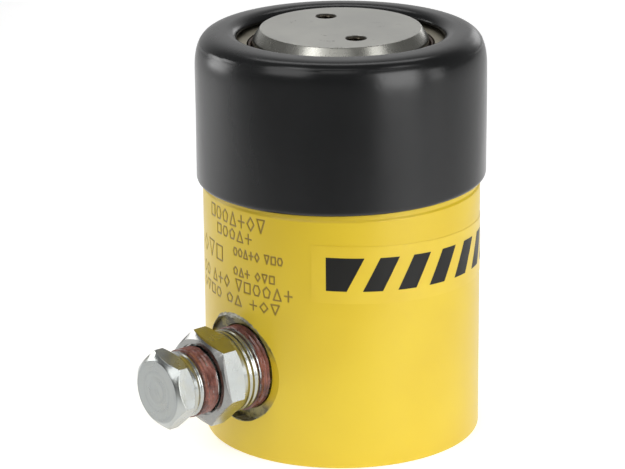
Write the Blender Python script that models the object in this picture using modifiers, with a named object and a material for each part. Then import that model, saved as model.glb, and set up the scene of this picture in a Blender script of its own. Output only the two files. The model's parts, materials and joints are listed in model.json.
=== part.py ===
"""Single-acting, spring-return hydraulic cylinder of the 10 ton class.

Frame: the origin is the centre of the base face, +Z is the direction in which the plunger
extends, and the side port points along -Y. Lengths are in metres.

Layout, from the bottom up: a one-piece steel barrel with a thick solid base, an extension
spring inside a hollow plunger, a piston head with its seals at the plunger's lower end, and
a threaded gland that guides the plunger and stops the stroke. A soft protector covers the
collar thread. The side port holds a reducing bushing, and the bushing holds a hexagon plug.
"""

import math

import bmesh
import bpy

# Driving dimensions
BODY_DIAMETER = 0.05715            # 2 1/4 in barrel and collar thread
BORE_DIAMETER = 0.0429
PLUNGER_DIAMETER = 0.036
STROKE = 0.0254                    # 1 in
HEIGHT_RETRACTED = 0.085
BASE_THICKNESS = 0.029
FIT_GAP = 0.0003                   # left between touching pieces

# Barrel
BODY_R = BODY_DIAMETER / 2
BORE_R = BORE_DIAMETER / 2
BODY_TOP = 0.0815
BASE_CHAMFER = 0.0010
COLLAR_R = BODY_R - 0.0003         # root of the collar-thread relief
COLLAR_BOTTOM = 0.0527
COLLAR_CHAMFER = 0.0008
GLAND_SEAT_R = 0.0246
GLAND_SEAT_Z = 0.0717
MOUNT_HOLE_R = 0.0033              # tap drill of 5/16-18
MOUNT_HOLE_DEPTH = 0.0130
MOUNT_HOLE_RADIUS = 0.0198         # half of the 39.6 mm bolt circle

# Side port
PORT_Z = 0.0182
PORT_FACE = 0.0263                 # spotface, measured from the cylinder axis
SPOTFACE_R = 0.0111
PORT_R = 0.00865                   # 3/8 NPT
PORT_END = 0.0135
PASSAGE_R = 0.0020
PASSAGE_Y = 0.0165

# Gland
GLAND_TOP = 0.0818
GLAND_BOTTOM = GLAND_SEAT_Z + FIT_GAP
GLAND_R = GLAND_SEAT_R - FIT_GAP
GLAND_BORE_R = 0.0188
SPANNER_HOLE_R = 0.0012
SPANNER_HOLE_RADIUS = 0.0228
SPANNER_HOLE_DEPTH = 0.0030

# Plunger and piston head
PLUNGER_R = PLUNGER_DIAMETER / 2
PLUNGER_TOP = HEIGHT_RETRACTED
PLUNGER_CHAMFER_R = 0.0016
PLUNGER_CHAMFER_H = 0.0023
PLUNGER_BOTTOM = BASE_THICKNESS + FIT_GAP
HEAD_TOP = GLAND_BOTTOM - STROKE - FIT_GAP
HEAD_R = BORE_R - 0.00045
SEAL_SEAT_R = 0.0162
HOLLOW_R = 0.0125
HOLLOW_TOP = 0.0740
FACE_HOLE_R = 0.00205              # #10-24
FACE_HOLE_DEPTH = 0.0064
FACE_HOLE_RADIUS = 0.00953         # half of the 3/4 in spacing
FACE_HOLE_ANGLE = math.radians(-22)

# Spring and its anchorage
WIRE_R = 0.0015
COIL_R = 0.0095
COIL_TURNS = 8.5
COIL_POINTS_PER_TURN = 10
SPRING_BOTTOM = 0.0315
SPRING_TOP = 0.0715
ANCHOR_BOSS_R = 0.0075
SCREW_R = 0.0030
SCREW_HEAD_R = 0.0050
SCREW_SOCKET_R = 0.0029            # across the socket's corners
COUNTERBORE_R = 0.0082
COUNTERBORE_DEPTH = 0.0120

# Port fittings, measured outwards from the cylinder axis
BUSHING_FACE = 0.0383
BUSHING_FLATS = 0.01746            # 11/16 in
PLUG_FACE = 0.0490
PLUG_FLATS = 0.01429               # 9/16 in
HEX_TURN = math.radians(15.4)      # how far the hexagons stop short of a corner on top
NPT_3_8_R = 0.0085
NPT_1_4_R = 0.0067

# Collar protector
PROTECTOR_R = 0.02985
PROTECTOR_BORE_R = 0.0289
PROTECTOR_BOTTOM = 0.0540
PROTECTOR_CREST_R = 0.0250
PROTECTOR_CREST_Z = 0.0846
PROTECTOR_OPENING_R = 0.0212
PROTECTOR_SHOULDER_Z = 0.0790
ARC_POINTS = 5

# Facets round each turned piece
BIG_STEPS = 40
SMALL_STEPS = 24
CUTTER_OVERRUN = 0.002


def clear_scene():
    for obj in list(bpy.data.objects):
        bpy.data.objects.remove(obj, do_unlink=True)


def new_collection(name):
    collection = bpy.data.collections.new(name)
    bpy.context.scene.collection.children.link(collection)
    return collection


clear_scene()
PARTS = new_collection("hydraulic_cylinder")
CUTTERS = new_collection("cutters")


def principled(name, colour, roughness, metallic=0.0):
    material = bpy.data.materials.new(name)
    material.use_nodes = True
    shader = material.node_tree.nodes["Principled BSDF"]
    shader.inputs["Base Color"].default_value = (*colour, 1.0)
    shader.inputs["Roughness"].default_value = roughness
    shader.inputs["Metallic"].default_value = metallic
    material.diffuse_color = (*colour, 1.0)
    return material


YELLOW_PAINT = principled("yellow_paint", (0.77, 0.57, 0.05), 0.35)
BLACK_VINYL = principled("black_vinyl", (0.02, 0.022, 0.024), 0.35)
GROUND_STEEL = principled("ground_steel", (0.52, 0.52, 0.48), 0.30, 1.0)
PLATED_GLAND = principled("plated_gland", (0.45, 0.42, 0.34), 0.40, 1.0)
ZINC_PLATE = principled("zinc_plate", (0.66, 0.67, 0.66), 0.25, 1.0)
SEALANT = principled("thread_sealant", (0.20, 0.045, 0.035), 0.30)
SPRING_STEEL = principled("spring_steel", (0.20, 0.20, 0.21), 0.45, 1.0)
DARK_STEEL = principled("dark_steel", (0.08, 0.08, 0.09), 0.50, 1.0)
COPPER = principled("copper", (0.72, 0.35, 0.20), 0.35, 1.0)
URETHANE = principled("urethane", (0.09, 0.05, 0.03), 0.50)
NYLON = principled("nylon", (0.55, 0.52, 0.42), 0.55)
BLACK_PLASTIC = principled("black_plastic", (0.03, 0.03, 0.03), 0.60)


def add_empty(name, location=(0, 0, 0), rotation=(0, 0, 0)):
    empty = bpy.data.objects.new(name, None)
    empty.location = location
    empty.rotation_euler = rotation
    empty.empty_display_size = 0.02
    PARTS.objects.link(empty)
    return empty


BARREL_AXIS = add_empty("barrel_axis")
RAM_AXIS = add_empty("ram_axis")
PORT_AXIS = add_empty("port_axis", (0, 0, PORT_Z), (math.pi / 2, 0, 0))


def turned(name, outline, material, parent, steps=BIG_STEPS, closed=True):
    """Spin an outline of (radius, height) points about the local Z axis.

    The outline runs down its outer side first. A closed one makes a ring; an open one starts
    and ends on the axis and makes a solid.
    """
    mesh = bpy.data.meshes.new(name)
    edges = [(i, i + 1) for i in range(len(outline) - 1)]
    if closed:
        edges.append((len(outline) - 1, 0))
    mesh.from_pydata([(radius, 0, height) for radius, height in outline], edges, [])
    obj = bpy.data.objects.new(name, mesh)
    PARTS.objects.link(obj)
    obj.parent = parent
    obj.data.materials.append(material)
    screw = obj.modifiers.new("turn", "SCREW")
    screw.axis = "Z"
    screw.angle = 2 * math.pi
    screw.steps = steps
    screw.render_steps = steps
    screw.use_merge_vertices = True
    screw.merge_threshold = 0.00001
    screw.use_smooth_shade = True
    return obj


def cutter(name, radius, low, high, parent, centre=(0, 0), sides=SMALL_STEPS, turn=0.0):
    """A hidden prism or cylinder along the parent's Z axis, from low to high."""
    mesh = bpy.data.meshes.new(name)
    shape = bmesh.new()
    bmesh.ops.create_cone(shape, cap_ends=True, segments=sides, radius1=radius,
                          radius2=radius, depth=high - low)
    shape.to_mesh(mesh)
    shape.free()
    obj = bpy.data.objects.new(name, mesh)
    obj.location = (centre[0], centre[1], (low + high) / 2)
    obj.rotation_euler = (0, 0, turn)
    obj.parent = parent
    obj.hide_render = True
    obj.display_type = "WIRE"
    CUTTERS.objects.link(obj)
    return obj


def cut(obj, tool, operation="DIFFERENCE"):
    boolean = obj.modifiers.new(tool.name, "BOOLEAN")
    boolean.operation = operation
    boolean.object = tool


def arc(centre, radius_r, radius_z, start, end, points=ARC_POINTS):
    """Points on an elliptical arc in the (radius, height) plane; angles in degrees."""
    angles = [math.radians(start + (end - start) * i / points) for i in range(points + 1)]
    return [(centre[0] + radius_r * math.cos(a), centre[1] + radius_z * math.sin(a))
            for a in angles]


def ring(inner, outer, low, high):
    return [(outer, high), (outer, low), (inner, low), (inner, high)]


def build_cylinder_body():
    outline = [
        (COLLAR_R - COLLAR_CHAMFER, BODY_TOP),
        (COLLAR_R, BODY_TOP - COLLAR_CHAMFER),
        (COLLAR_R, COLLAR_BOTTOM),
        (BODY_R, COLLAR_BOTTOM - 0.00015),
        (BODY_R, BASE_CHAMFER),
        (BODY_R - BASE_CHAMFER, 0),
        (COUNTERBORE_R, 0),
        (COUNTERBORE_R, COUNTERBORE_DEPTH),
        (SCREW_R + FIT_GAP, COUNTERBORE_DEPTH),
        (SCREW_R + FIT_GAP, BASE_THICKNESS),
        (BORE_R, BASE_THICKNESS),
        (BORE_R, GLAND_SEAT_Z),
        (GLAND_SEAT_R, GLAND_SEAT_Z),
        (GLAND_SEAT_R, BODY_TOP),
    ]
    body = turned("cylinder_body", outline, YELLOW_PAINT, BARREL_AXIS)
    cut(body, cutter("spotface_cut", SPOTFACE_R, PORT_FACE, BODY_R + CUTTER_OVERRUN, PORT_AXIS))
    cut(body, cutter("port_cut", PORT_R, PORT_END, BODY_R + CUTTER_OVERRUN, PORT_AXIS))
    cut(body, cutter("passage_cut", PASSAGE_R, PORT_Z, BASE_THICKNESS + CUTTER_OVERRUN,
                     BARREL_AXIS, (0, -PASSAGE_Y), sides=16))
    for side, label in ((-1, "left"), (1, "right")):
        cut(body, cutter("mount_hole_cut_" + label, MOUNT_HOLE_R, -CUTTER_OVERRUN,
                         MOUNT_HOLE_DEPTH, BARREL_AXIS, (side * MOUNT_HOLE_RADIUS, 0), sides=20))


WIPER_SEAT = (0.0206, 0.0784, 0.0809)      # radius, low, high
BEARING_SEAT = (0.0199, 0.0733, 0.0777)


def build_gland():
    edge = 0.0003
    outline = [
        (GLAND_R - edge, GLAND_TOP),
        (GLAND_R, GLAND_TOP - edge),
        (GLAND_R, GLAND_BOTTOM + edge),
        (GLAND_R - edge, GLAND_BOTTOM),
        (GLAND_BORE_R, GLAND_BOTTOM),
        (GLAND_BORE_R, BEARING_SEAT[1]),
        (BEARING_SEAT[0], BEARING_SEAT[1]),
        (BEARING_SEAT[0], BEARING_SEAT[2]),
        (GLAND_BORE_R, BEARING_SEAT[2]),
        (GLAND_BORE_R, WIPER_SEAT[1]),
        (WIPER_SEAT[0], WIPER_SEAT[1]),
        (WIPER_SEAT[0], WIPER_SEAT[2]),
        (GLAND_BORE_R + FIT_GAP, WIPER_SEAT[2]),
        (GLAND_BORE_R + FIT_GAP, GLAND_TOP),
    ]
    gland = turned("gland_nut", outline, PLATED_GLAND, BARREL_AXIS)
    for index in range(4):
        angle = math.pi / 4 + index * math.pi / 2
        centre = (SPANNER_HOLE_RADIUS * math.cos(angle), SPANNER_HOLE_RADIUS * math.sin(angle))
        cut(gland, cutter(f"spanner_hole_cut_{index + 1}", SPANNER_HOLE_R,
                          GLAND_TOP - SPANNER_HOLE_DEPTH, GLAND_TOP + CUTTER_OVERRUN,
                          BARREL_AXIS, centre, sides=10))

    lip_r = PLUNGER_R + 0.00035
    wiper = [
        (GLAND_BORE_R, GLAND_TOP),
        (GLAND_BORE_R, WIPER_SEAT[2] - FIT_GAP),
        (WIPER_SEAT[0] - FIT_GAP, WIPER_SEAT[2] - FIT_GAP),
        (WIPER_SEAT[0] - FIT_GAP, WIPER_SEAT[1] + FIT_GAP),
        (GLAND_BORE_R, WIPER_SEAT[1] + FIT_GAP),
        (lip_r, WIPER_SEAT[1] + 0.0012),
        (lip_r, GLAND_TOP - 0.0002),
    ]
    turned("rod_wiper", wiper, URETHANE, BARREL_AXIS)
    turned("gland_bearing",
           ring(PLUNGER_R + FIT_GAP, BEARING_SEAT[0] - FIT_GAP,
                BEARING_SEAT[1] + FIT_GAP, BEARING_SEAT[2] - FIT_GAP),
           NYLON, BARREL_AXIS)


WEAR_SEAT = (0.0196, 0.0406, 0.0449)       # radius, low, high
SEAL_SEAT_TOP = 0.0396
SNAP_SEAT = (0.0153, 0.0300, 0.0314)
STUD_HOLE_R = 0.0050
STUD_HOLE_TOP = 0.0790


def build_plunger():
    edge = 0.0003
    outline = [
        (0, PLUNGER_TOP),
        (PLUNGER_R - PLUNGER_CHAMFER_R, PLUNGER_TOP),
        (PLUNGER_R, PLUNGER_TOP - PLUNGER_CHAMFER_H),
        (PLUNGER_R, HEAD_TOP),
        (HEAD_R - edge, HEAD_TOP),
        (HEAD_R, HEAD_TOP - edge),
        (HEAD_R, WEAR_SEAT[2]),
        (WEAR_SEAT[0], WEAR_SEAT[2]),
        (WEAR_SEAT[0], WEAR_SEAT[1]),
        (HEAD_R, WEAR_SEAT[1]),
        (HEAD_R, SEAL_SEAT_TOP),
        (SEAL_SEAT_R, SEAL_SEAT_TOP),
        (SEAL_SEAT_R, SNAP_SEAT[2]),
        (SNAP_SEAT[0], SNAP_SEAT[2]),
        (SNAP_SEAT[0], SNAP_SEAT[1]),
        (SEAL_SEAT_R, SNAP_SEAT[1]),
        (SEAL_SEAT_R - edge, PLUNGER_BOTTOM),
        (HOLLOW_R, PLUNGER_BOTTOM),
        (HOLLOW_R, HOLLOW_TOP),
        (STUD_HOLE_R, HOLLOW_TOP),
        (STUD_HOLE_R, STUD_HOLE_TOP),
        (0, STUD_HOLE_TOP + 0.0006),
    ]
    plunger = turned("plunger", outline, GROUND_STEEL, RAM_AXIS, closed=False)
    for index in range(2):
        angle = FACE_HOLE_ANGLE + index * math.pi
        centre = (FACE_HOLE_RADIUS * math.cos(angle), FACE_HOLE_RADIUS * math.sin(angle))
        cut(plunger, cutter(f"face_hole_cut_{index + 1}", FACE_HOLE_R,
                            PLUNGER_TOP - FACE_HOLE_DEPTH, PLUNGER_TOP + CUTTER_OVERRUN,
                            RAM_AXIS, centre, sides=16))


def build_piston_seals():
    seat_r = SEAL_SEAT_R + FIT_GAP
    seal_r = BORE_R - FIT_GAP
    turned("piston_bearing",
           ring(WEAR_SEAT[0] + FIT_GAP, seal_r, WEAR_SEAT[1] + FIT_GAP, WEAR_SEAT[2] - FIT_GAP),
           NYLON, RAM_AXIS)
    turned("piston_backup_ring", ring(seat_r, HEAD_R, 0.0376, SEAL_SEAT_TOP - FIT_GAP),
           NYLON, RAM_AXIS)
    cup_low, cup_high = 0.0330, 0.0373
    u_cup = [
        (seal_r - 0.0004, cup_high),
        (seal_r, cup_low + 0.0002),
        (seal_r - 0.0008, cup_low),
        (0.0193, cup_low + 0.0024),
        (0.0183, cup_low + 0.0024),
        (seat_r + 0.0008, cup_low),
        (seat_r, cup_low + 0.0002),
        (seat_r + 0.0002, cup_high),
    ]
    turned("piston_u_cup", u_cup, URETHANE, RAM_AXIS)
    turned("seal_retaining_washer", ring(seat_r, 0.0206, 0.0317, 0.0327), DARK_STEEL, RAM_AXIS)

    snap = turned("piston_snap_ring",
                  ring(SNAP_SEAT[0] + FIT_GAP, 0.0182, SNAP_SEAT[1] + FIT_GAP,
                       SNAP_SEAT[2] - FIT_GAP / 2),
                  DARK_STEEL, RAM_AXIS)
    cut(snap, cutter("snap_gap_cut", 0.0024, 0.0290, 0.0325, RAM_AXIS, (0, 0.0168), sides=12))


def build_return_spring():
    """Extension spring: one round wire wound in a helix, drawn straight in height."""
    curve = bpy.data.curves.new("return_spring", "CURVE")
    curve.dimensions = "3D"
    curve.bevel_depth = WIRE_R
    curve.bevel_resolution = 2
    curve.use_fill_caps = True
    count = int(COIL_TURNS * COIL_POINTS_PER_TURN)
    low = SPRING_BOTTOM + WIRE_R
    high = SPRING_TOP - WIRE_R
    wire = curve.splines.new("POLY")
    wire.points.add(count)
    for index, point in enumerate(wire.points):
        share = index / count
        angle = 2 * math.pi * COIL_TURNS * share
        point.co = (COIL_R * math.cos(angle), COIL_R * math.sin(angle),
                    low + (high - low) * share, 1)
    spring = bpy.data.objects.new("return_spring", curve)
    spring.data.materials.append(SPRING_STEEL)
    spring.parent = BARREL_AXIS
    PARTS.objects.link(spring)


def build_spring_anchorage():
    boss_length = 0.0070
    boss_edge = 0.0006
    plate_r = HOLLOW_R - 0.0006
    stud_r = STUD_HOLE_R - FIT_GAP
    upper = [
        (0, STUD_HOLE_TOP - FIT_GAP),
        (stud_r, STUD_HOLE_TOP - FIT_GAP),
        (stud_r, HOLLOW_TOP - FIT_GAP),
        (plate_r, HOLLOW_TOP - FIT_GAP),
        (plate_r, SPRING_TOP + FIT_GAP),
        (ANCHOR_BOSS_R, SPRING_TOP + FIT_GAP),
        (ANCHOR_BOSS_R, SPRING_TOP - boss_length + boss_edge),
        (ANCHOR_BOSS_R - boss_edge, SPRING_TOP - boss_length),
        (0, SPRING_TOP - boss_length),
    ]
    turned("upper_spring_anchor", upper, DARK_STEEL, RAM_AXIS, SMALL_STEPS, closed=False)

    hole_r = SCREW_R + FIT_GAP
    lower_top = SPRING_BOTTOM + boss_length
    lower = [
        (ANCHOR_BOSS_R - boss_edge, lower_top),
        (ANCHOR_BOSS_R, lower_top - boss_edge),
        (ANCHOR_BOSS_R, SPRING_BOTTOM - FIT_GAP),
        (plate_r, SPRING_BOTTOM - FIT_GAP),
        (plate_r, BASE_THICKNESS + FIT_GAP),
        (hole_r, BASE_THICKNESS + FIT_GAP),
        (hole_r, lower_top),
    ]
    turned("lower_spring_anchor", lower, DARK_STEEL, BARREL_AXIS, SMALL_STEPS)

    washer_high = COUNTERBORE_DEPTH - FIT_GAP
    washer_low = washer_high - 0.0010
    turned("anchor_copper_washer", ring(SCREW_R + 0.0004, 0.0078, washer_low, washer_high),
           COPPER, BARREL_AXIS, SMALL_STEPS)

    head_high = washer_low - FIT_GAP
    head_low = head_high - 0.0055
    screw_edge = 0.0004
    screw = [
        (0, lower_top - 0.0010),
        (SCREW_R - screw_edge, lower_top - 0.0010),
        (SCREW_R, lower_top - 0.0010 - screw_edge),
        (SCREW_R, head_high),
        (SCREW_HEAD_R, head_high),
        (SCREW_HEAD_R, head_low + screw_edge),
        (SCREW_HEAD_R - screw_edge, head_low),
        (0, head_low),
    ]
    anchor = turned("anchor_screw", screw, DARK_STEEL, BARREL_AXIS, SMALL_STEPS, closed=False)
    cut(anchor, cutter("anchor_socket_cut", SCREW_SOCKET_R, head_low - CUTTER_OVERRUN,
                       head_low + 0.0028, BARREL_AXIS, sides=6))

    plug_r = COUNTERBORE_R - FIT_GAP
    plug = [
        (0, 0.0036),
        (plug_r - 0.0006, 0.0036),
        (plug_r, 0.0030),
        (plug_r, 0.0002),
        (plug_r - 0.0002, 0),
        (0, 0),
    ]
    turned("base_seal_plug", plug, BLACK_PLASTIC, BARREL_AXIS, SMALL_STEPS, closed=False)


def hex_corner_r(flats):
    return flats / math.sqrt(3)


def cut_hexagon(obj, flats, low, high):
    """Keep only what lies inside a hexagonal bar of the given width across flats."""
    cut(obj, cutter(obj.name + "_flats", hex_corner_r(flats), low, high, PORT_AXIS, sides=6,
                    turn=HEX_TURN), "INTERSECT")


def build_port_fittings():
    corner = hex_corner_r(BUSHING_FLATS) + 0.0001
    hex_back = BUSHING_FACE - 0.0049
    seal_low = PORT_FACE + 0.00035
    seal_high = 0.0286
    groove_r = 0.0079
    bushing_bore = 0.0069
    bushing_end = 0.0165
    bushing = [
        (0.0081, BUSHING_FACE),
        (corner, BUSHING_FACE - 0.0011),
        (corner, hex_back + 0.0005),
        (0.0092, hex_back),
        (NPT_3_8_R, hex_back),
        (NPT_3_8_R, seal_high + FIT_GAP),
        (groove_r, seal_high + FIT_GAP),
        (groove_r, PORT_FACE),
        (PORT_R - 0.00035, PORT_FACE),
        (PORT_R - 0.00035, bushing_end + 0.0008),
        (groove_r, bushing_end),
        (0.0050, bushing_end),
        (0.0050, 0.0295),
        (bushing_bore, 0.0295),
        (bushing_bore, BUSHING_FACE - 0.0005),
        (bushing_bore + 0.0004, BUSHING_FACE),
    ]
    fitting = turned("port_bushing", bushing, ZINC_PLATE, PORT_AXIS)
    cut_hexagon(fitting, BUSHING_FLATS, bushing_end - CUTTER_OVERRUN,
                BUSHING_FACE + CUTTER_OVERRUN)
    turned("bushing_sealant", ring(groove_r + FIT_GAP, 0.0086, seal_low, seal_high), SEALANT,
           PORT_AXIS, SMALL_STEPS)

    corner = hex_corner_r(PLUG_FLATS) + 0.0001
    plug_end = 0.0310
    plug_seal_high = 0.0417
    plug_groove = 0.0062
    plug = [
        (0, PLUG_FACE),
        (0.00605, PLUG_FACE),
        (corner, PLUG_FACE - 0.0014),
        (corner, 0.0445),
        (0.0070, 0.0436),
        (NPT_1_4_R, 0.0436),
        (NPT_1_4_R, plug_seal_high + FIT_GAP),
        (plug_groove, plug_seal_high + FIT_GAP),
        (plug_groove, BUSHING_FACE),
        (bushing_bore - 0.00035, BUSHING_FACE - 0.0003),
        (bushing_bore - 0.00035, plug_end + 0.0006),
        (0.0060, plug_end),
        (0, plug_end),
    ]
    fitting = turned("port_plug", plug, ZINC_PLATE, PORT_AXIS, closed=False)
    cut_hexagon(fitting, PLUG_FLATS, plug_end - CUTTER_OVERRUN, PLUG_FACE + CUTTER_OVERRUN)
    turned("plug_sealant",
           ring(plug_groove + FIT_GAP, 0.0069, BUSHING_FACE + FIT_GAP, plug_seal_high),
           SEALANT, PORT_AXIS, SMALL_STEPS)


def build_collar_protector():
    """Soft cup over the collar thread, with a rolled lip round its opening."""
    bottom_edge = 0.0009
    lip_low = GLAND_TOP + FIT_GAP
    shoulder_r = PROTECTOR_R - PROTECTOR_CREST_R
    shoulder_h = PROTECTOR_CREST_Z - PROTECTOR_SHOULDER_Z
    lip_r = PROTECTOR_CREST_R - PROTECTOR_OPENING_R
    lip_h = PROTECTOR_CREST_Z - lip_low - 0.0006
    outline = arc((PROTECTOR_CREST_R, PROTECTOR_SHOULDER_Z), shoulder_r, shoulder_h, 90, 0)
    outline += arc((PROTECTOR_R - bottom_edge, PROTECTOR_BOTTOM + bottom_edge),
                   bottom_edge, bottom_edge, 0, -90, 3)
    outline += [
        (PROTECTOR_BORE_R, PROTECTOR_BOTTOM),
        (PROTECTOR_BORE_R, BODY_TOP - 0.0008),
        (PROTECTOR_BORE_R - 0.0008, lip_low),
        (PROTECTOR_OPENING_R + 0.0005, lip_low),
    ]
    outline += arc((PROTECTOR_CREST_R, PROTECTOR_CREST_Z - lip_h), lip_r, lip_h, 180, 90)[:-1]
    turned("collar_protector", outline, BLACK_VINYL, BARREL_AXIS)


build_cylinder_body()
build_gland()
build_plunger()
build_piston_seals()
build_return_spring()
build_spring_anchorage()
build_port_fittings()
build_collar_protector()
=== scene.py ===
import json
import math

import bmesh
import bpy
import numpy as np
from mathutils import Matrix, Vector, kdtree


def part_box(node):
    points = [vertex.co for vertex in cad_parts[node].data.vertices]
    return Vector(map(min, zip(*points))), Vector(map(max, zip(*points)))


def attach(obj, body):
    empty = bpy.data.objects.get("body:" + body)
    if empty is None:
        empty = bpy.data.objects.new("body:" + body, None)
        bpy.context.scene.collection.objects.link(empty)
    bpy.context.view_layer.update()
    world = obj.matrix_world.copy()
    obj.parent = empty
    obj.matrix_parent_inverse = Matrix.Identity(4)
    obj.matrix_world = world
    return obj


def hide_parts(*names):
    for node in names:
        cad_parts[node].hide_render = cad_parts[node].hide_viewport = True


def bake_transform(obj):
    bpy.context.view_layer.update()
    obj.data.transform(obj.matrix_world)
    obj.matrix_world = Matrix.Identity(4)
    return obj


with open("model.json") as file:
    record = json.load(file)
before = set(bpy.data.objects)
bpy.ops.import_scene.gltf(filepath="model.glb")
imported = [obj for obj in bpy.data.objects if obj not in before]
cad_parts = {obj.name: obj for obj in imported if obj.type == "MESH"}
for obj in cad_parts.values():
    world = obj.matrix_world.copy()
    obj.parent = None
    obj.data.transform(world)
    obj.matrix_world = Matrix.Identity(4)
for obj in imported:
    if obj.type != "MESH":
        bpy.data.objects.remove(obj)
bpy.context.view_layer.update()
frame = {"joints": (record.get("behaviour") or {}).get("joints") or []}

MM = 0.001
TAU = 2 * math.pi


# ---- sizes read from the frame, in millimetres
def box_mm(node):
    """Low and high corner of a node's box."""
    return [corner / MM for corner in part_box(node)]


BODY_HIGH = box_mm("cylinder_body")[1]
BODY_R = BODY_HIGH.x
BODY_TOP = BODY_HIGH.z
GLAND_LOW, GLAND_HIGH = box_mm("gland_nut")
RAM_TOP = box_mm("plunger")[1].z
PROTECTOR_LOW, PROTECTOR_HIGH = box_mm("collar_protector")
PLUG_LOW, PLUG_HIGH = box_mm("port_plug")
BUSHING_LOW, BUSHING_HIGH = box_mm("port_bushing")
PLUG_FACE = -PLUG_LOW.y
BUSHING_FACE = -BUSHING_LOW.y
BUSHING_END = -BUSHING_HIGH.y
PORT_AXIS = next(j for j in frame["joints"] if j["name"] == "plug_turn")["pos_m"][2]
PORT_Z = PORT_AXIS / MM
PORT_FRAME = Matrix.Translation((0, 0, PORT_AXIS)) @ Matrix.Rotation(math.pi / 2, 4, "X")


# ---- camera, in metres, measured from the port
VIEW_ANGLE = math.radians(50)  # the port lies this far to the left of the viewer
VIEW_DISTANCE = 0.620
VIEW_SHIFT = 0.00606
VIEW_HEIGHT = 0.2447
VIEW_PITCH = 0.3179
VIEW_ROLL = 0.0082
VIEW_LENS = 181.3


def linked(name, data):
    """A new object in the scene."""
    obj = bpy.data.objects.new(name, data)
    bpy.context.scene.collection.objects.link(obj)
    return obj


def make_camera():
    camera = linked("camera", bpy.data.cameras.new("camera"))
    camera.data.sensor_width = 36
    camera.data.lens = VIEW_LENS
    camera.data.clip_start = 0.01
    turn = Matrix.Rotation(VIEW_ANGLE, 4, "Z")
    place = Matrix.Translation((-VIEW_SHIFT, -VIEW_DISTANCE, VIEW_HEIGHT))
    tilt = Matrix.Rotation(math.pi / 2 - VIEW_PITCH, 4, "X")
    roll = Matrix.Rotation(-VIEW_ROLL, 4, "Z")
    camera.matrix_world = turn @ place @ tilt @ roll
    bpy.context.scene.camera = camera


# ---- materials
class Paint:
    """A Principled material and the short calls that build its nodes."""

    def __init__(self, name, colour, roughness, metallic=0.0, **constants):
        self.material = bpy.data.materials.new(name)
        self.material.use_nodes = True
        self.tree = self.material.node_tree
        self.shader = self.tree.nodes["Principled BSDF"]
        self.use(Base_Color=colour, Roughness=roughness, Metallic=metallic, **constants)
        self.place = self.node("ShaderNodeTexCoord", {}).outputs["Object"]

    def node(self, kind, inputs, **settings):
        """A new node; an input is given a number, a colour or another node's output."""
        made = self.tree.nodes.new(kind)
        for key, value in settings.items():
            setattr(made, key, value)
        for label, value in inputs.items():
            self.feed(made.inputs[label], value)
        return made

    def feed(self, socket, value):
        if isinstance(value, bpy.types.NodeSocket):
            self.tree.links.new(value, socket)
        elif isinstance(value, tuple) and len(value) == 3 and socket.type == "RGBA":
            socket.default_value = (*value, 1)
        else:
            socket.default_value = value

    def use(self, **links):
        for label, value in links.items():
            self.feed(self.shader.inputs[label.replace("_", " ")], value)
        return self.material

    def maths(self, operation, *values):
        return self.node("ShaderNodeMath", dict(enumerate(values)), operation=operation).outputs[0]

    def times(self, first, second):
        return self.maths("MULTIPLY", first, second)

    def most(self, first, second):
        return self.maths("MAXIMUM", first, second)

    def distance(self, first, second):
        squares = self.maths("ADD", self.times(first, first), self.times(second, second))
        return self.maths("SQRT", squares)

    def axes(self):
        return self.node("ShaderNodeSeparateXYZ", {0: self.place}).outputs

    def along(self, direction):
        made = self.node("ShaderNodeVectorMath", {0: self.place, 1: direction},
                         operation="DOT_PRODUCT")
        return made.outputs["Value"]

    def stretched(self, scale):
        return self.node("ShaderNodeMapping", {"Vector": self.place, "Scale": scale}).outputs[0]

    def noise(self, per_mm, detail=3.0, rough=0.55, place=None):
        inputs = {"Vector": place or self.place, "Scale": per_mm / MM, "Detail": detail,
                  "Roughness": rough}
        return self.node("ShaderNodeTexNoise", inputs).outputs[0]

    def cells(self, per_mm):
        inputs = {"Vector": self.place, "Scale": per_mm / MM}
        return self.node("ShaderNodeTexVoronoi", inputs, feature="F1").outputs["Distance"]

    def attribute(self, name):
        return self.node("ShaderNodeAttribute", {}, attribute_name=name).outputs["Fac"]

    def ramp(self, value, low, high, start=0.0, end=1.0):
        """value between low and high, spread over start to end and held outside."""
        inputs = {"Value": value, "From Min": low, "From Max": high, "To Min": start, "To Max": end}
        return self.node("ShaderNodeMapRange", inputs).outputs["Result"]

    def above(self, value, edge, soft):
        """1 where a length is over the edge, 0 where it is under; edge and soft in millimetres."""
        return self.ramp(value, (edge - soft) * MM, (edge + soft) * MM)

    def below(self, value, edge, soft):
        return self.ramp(value, (edge + soft) * MM, (edge - soft) * MM)

    def mix(self, factor, first, second):
        """From the first colour to the second."""
        inputs = {"Factor": factor, 6: first, 7: second}
        return self.node("ShaderNodeMix", inputs, data_type="RGBA").outputs[2]

    def blend(self, factor, first, second):
        """From the first number to the second."""
        inputs = {"Factor": factor, 2: first, 3: second}
        return self.node("ShaderNodeMix", inputs, data_type="FLOAT").outputs[0]

    def bump(self, height, strength, depth, below=None):
        inputs = {"Strength": strength, "Distance": depth, "Height": height}
        if below:
            inputs["Normal"] = below
        return self.node("ShaderNodeBump", inputs).outputs["Normal"]


def machined_rings(paint, radius, per_mm):
    """Fine concentric tool marks round an axis, uneven in depth."""
    wave = paint.maths("SINE", paint.times(radius, TAU * per_mm / MM))
    uneven = paint.noise(0.25, 2)
    return paint.times(wave, uneven)


# where the barrel's paint ends, in millimetres
PAINT_TOP = 55.4
PAINT_INNER_R = 24.65
SPOTFACE_PAINT_R = 11.25


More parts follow.
